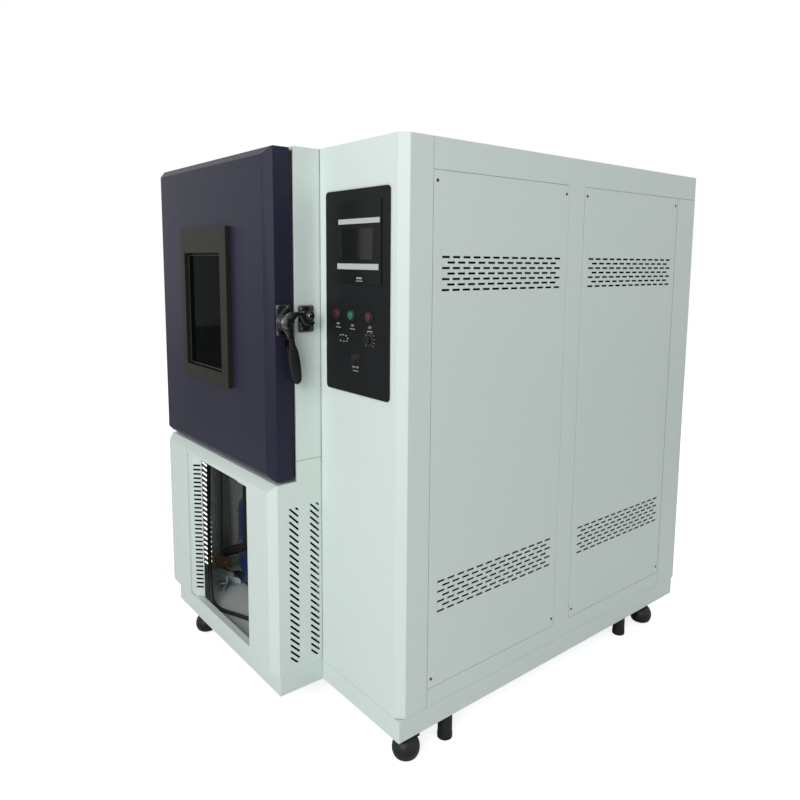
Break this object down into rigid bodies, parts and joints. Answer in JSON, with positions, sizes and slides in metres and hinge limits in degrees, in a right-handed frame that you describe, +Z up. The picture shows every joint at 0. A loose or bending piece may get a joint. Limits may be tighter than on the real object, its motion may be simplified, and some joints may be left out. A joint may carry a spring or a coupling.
{
  "type": "environmental test chamber",
  "caption": "Floor standing climatic test chamber with a windowed left-hinged door, touch panel cabinet, open machine bay, casters and levelling feet.",
  "frame": {"origin": "centre of the bounding box's base, on the floor under the levelling feet", "axes": "+Z up, -Y is the front with door and control panel, +X is the control cabinet's side"},
  "size_m": [1.2376, 1.618, 1.735],
  "materials": {
    "white_paint": "satin powder coat",
    "door_paint": "hammered dark blue-grey",
    "frame_paint": "satin dark grey-brown",
    "panel_black": "satin black",
    "stainless": "brushed",
    "galvanised": "galvanised",
    "zinc": "zinc plated",
    "tray_grey": "satin",
    "aluminium_fins": "fins",
    "copper": "copper tube",
    "blue_paint": "gloss",
    "motor_paint": "satin",
    "foam": "rigid foam",
    "seal_rubber": "soft",
    "hose_rubber": "matte",
    "black_plastic": "textured",
    "gloss_black": "gloss",
    "red_plastic": "gloss",
    "green_plastic": "lit green",
    "tyre_black": "matte",
    "glass_pane": "clear",
    "screen_glass": "dark display"
  },
  "bodies": {
    "cabinet": {"plinth": "white_paint", "base_tray": "tray_grey", "left_side_panel": "white_paint", "right_lower_panel": "white_paint", "right_upper_panel": "white_paint", "top_cover": "white_paint", "lower_front_frame": "white_paint", "vent_strip": "white_paint", "control_front": "white_paint", "side_frame": "white_paint", "access_panel_front": "white_paint", "access_panel_rear": "white_paint", "back_panel": "white_paint", "inner_partition": "galvanised", "panel_screws": "zinc", "liner": "stainless", "insulation": "foam", "shelf_rails": "stainless", "shelves": "stainless", "air_baffle": "stainless", "fan_motors": "motor_paint", "keeper": "zinc", "hinge_fixed": "zinc", "control_plate": "panel_black", "display_frame": "gloss_black", "touch_screen": "screen_glass", "control_bezels": "black_plastic", "compressor_shell": "blue_paint", "copper_pipes": "copper", "black_hoses": "hose_rubber", "chamber_casing": "galvanised", "brackets": "zinc", "condenser": "aluminium_fins", "caster_plates": "zinc", "levelling_feet": "black_plastic"},
    "door": {"door_shell": "door_paint", "door_inner": "stainless", "window_frame": "frame_paint", "window_glass": "glass_pane", "door_gasket": "seal_rubber", "latch_base": "zinc", "hinge_door": "zinc"},
    "latch": {"latch_handle": "zinc", "latch_grip": "black_plastic"},
    "roller": {"keeper_roller": "black_plastic"},
    "button_red_left": {"red_button_left": "red_plastic"},
    "button_green": {"green_button": "green_plastic"},
    "button_red_right": {"red_button_right": "red_plastic"},
    "power_rocker": {"rocker": "gloss_black"},
    "knob": {"setting_knob": "black_plastic"},
    "circulation_fan": {"fan_impeller": "stainless"},
    "cooling_fan": {"condenser_fan": "motor_paint"},
    "swivel_front_right": {"fork_front_right": "black_plastic"},
    "swivel_rear_right": {"fork_rear_right": "black_plastic"},
    "swivel_front_left": {"fork_front_left": "black_plastic"},
    "swivel_rear_left": {"fork_rear_left": "black_plastic"},
    "roll_front_right": {"wheel_front_right": "tyre_black"},
    "roll_rear_right": {"wheel_rear_right": "tyre_black"},
    "roll_front_left": {"wheel_front_left": "tyre_black"},
    "roll_rear_left": {"wheel_rear_left": "tyre_black"}
  },
  "joints": [
    {"name": "door_hinge", "type": "hinge", "parent": "cabinet", "child": "door", "pos_m": [-0.60625, -0.729, 1.246], "axis": [0, 0, -1], "range_deg": [0, 110]},
    {"name": "latch_lever", "type": "hinge", "parent": "door", "child": "latch", "pos_m": [0.24775, -0.748, 1.235], "axis": [-1, 0, 0], "range_deg": [0, 85]},
    {"name": "keeper_roller_spin", "type": "hinge", "parent": "cabinet", "child": "roller", "pos_m": [0.25175, -0.672, 1.253], "axis": [1, 0, 0], "continuous": true},
    {"name": "press_red_left", "type": "slide", "parent": "cabinet", "child": "button_red_left", "axis": [0, 1, 0], "range_m": [0, 0.003], "stiffness_N_per_m": 400, "springref_m": -0.001},
    {"name": "press_green", "type": "slide", "parent": "cabinet", "child": "button_green", "axis": [0, 1, 0], "range_m": [0, 0.003], "stiffness_N_per_m": 400, "springref_m": -0.001},
    {"name": "press_red_right", "type": "slide", "parent": "cabinet", "child": "button_red_right", "axis": [0, 1, 0], "range_m": [0, 0.003], "stiffness_N_per_m": 400, "springref_m": -0.001},
    {"name": "power_rocker_tilt", "type": "hinge", "parent": "cabinet", "child": "power_rocker", "pos_m": [0.41275, -0.619, 1.144], "axis": [0, 0, -1], "range_deg": [0, 16]},
    {"name": "knob_turn", "type": "hinge", "parent": "cabinet", "child": "knob", "pos_m": [0.47875, -0.625, 1.2], "axis": [0, -1, 0], "range_deg": [-135, 135]},
    {"name": "circulation_fan_spin", "type": "hinge", "parent": "cabinet", "child": "circulation_fan", "pos_m": [-0.18425, -0.117, 1.375], "axis": [0, 1, 0], "continuous": true},
    {"name": "cooling_fan_spin", "type": "hinge", "parent": "cabinet", "child": "cooling_fan", "pos_m": [0.48475, 0.4065, 0.473], "axis": [1, 0, 0], "continuous": true},
    {"name": "caster_swivel_front_right", "type": "hinge", "parent": "cabinet", "child": "swivel_front_right", "pos_m": [0.58075, -0.54, 0.089], "axis": [0, 0, 1], "continuous": true},
    {"name": "wheel_spin_front_right", "type": "hinge", "parent": "swivel_front_right", "child": "roll_front_right", "pos_m": [0.58075, -0.564, 0.036], "axis": [1, 0, 0], "continuous": true},
    {"name": "caster_swivel_rear_right", "type": "hinge", "parent": "cabinet", "child": "swivel_rear_right", "pos_m": [0.58075, 0.616, 0.089], "axis": [0, 0, 1], "continuous": true},
    {"name": "wheel_spin_rear_right", "type": "hinge", "parent": "swivel_rear_right", "child": "roll_rear_right", "pos_m": [0.58075, 0.64, 0.036], "axis": [1, 0, 0], "continuous": true},
    {"name": "caster_swivel_front_left", "type": "hinge", "parent": "cabinet", "child": "swivel_front_left", "pos_m": [-0.42325, -0.703, 0.089], "axis": [0, 0, 1], "continuous": true},
    {"name": "wheel_spin_front_left", "type": "hinge", "parent": "swivel_front_left", "child": "roll_front_left", "pos_m": [-0.42325, -0.727, 0.036], "axis": [1, 0, 0], "continuous": true},
    {"name": "caster_swivel_rear_left", "type": "hinge", "parent": "cabinet", "child": "swivel_rear_left", "pos_m": [-0.44325, 0.616, 0.089], "axis": [0, 0, 1], "continuous": true},
    {"name": "wheel_spin_rear_left", "type": "hinge", "parent": "swivel_rear_left", "child": "roll_rear_left", "pos_m": [-0.44325, 0.64, 0.036], "axis": [1, 0, 0], "continuous": true}
  ]
}
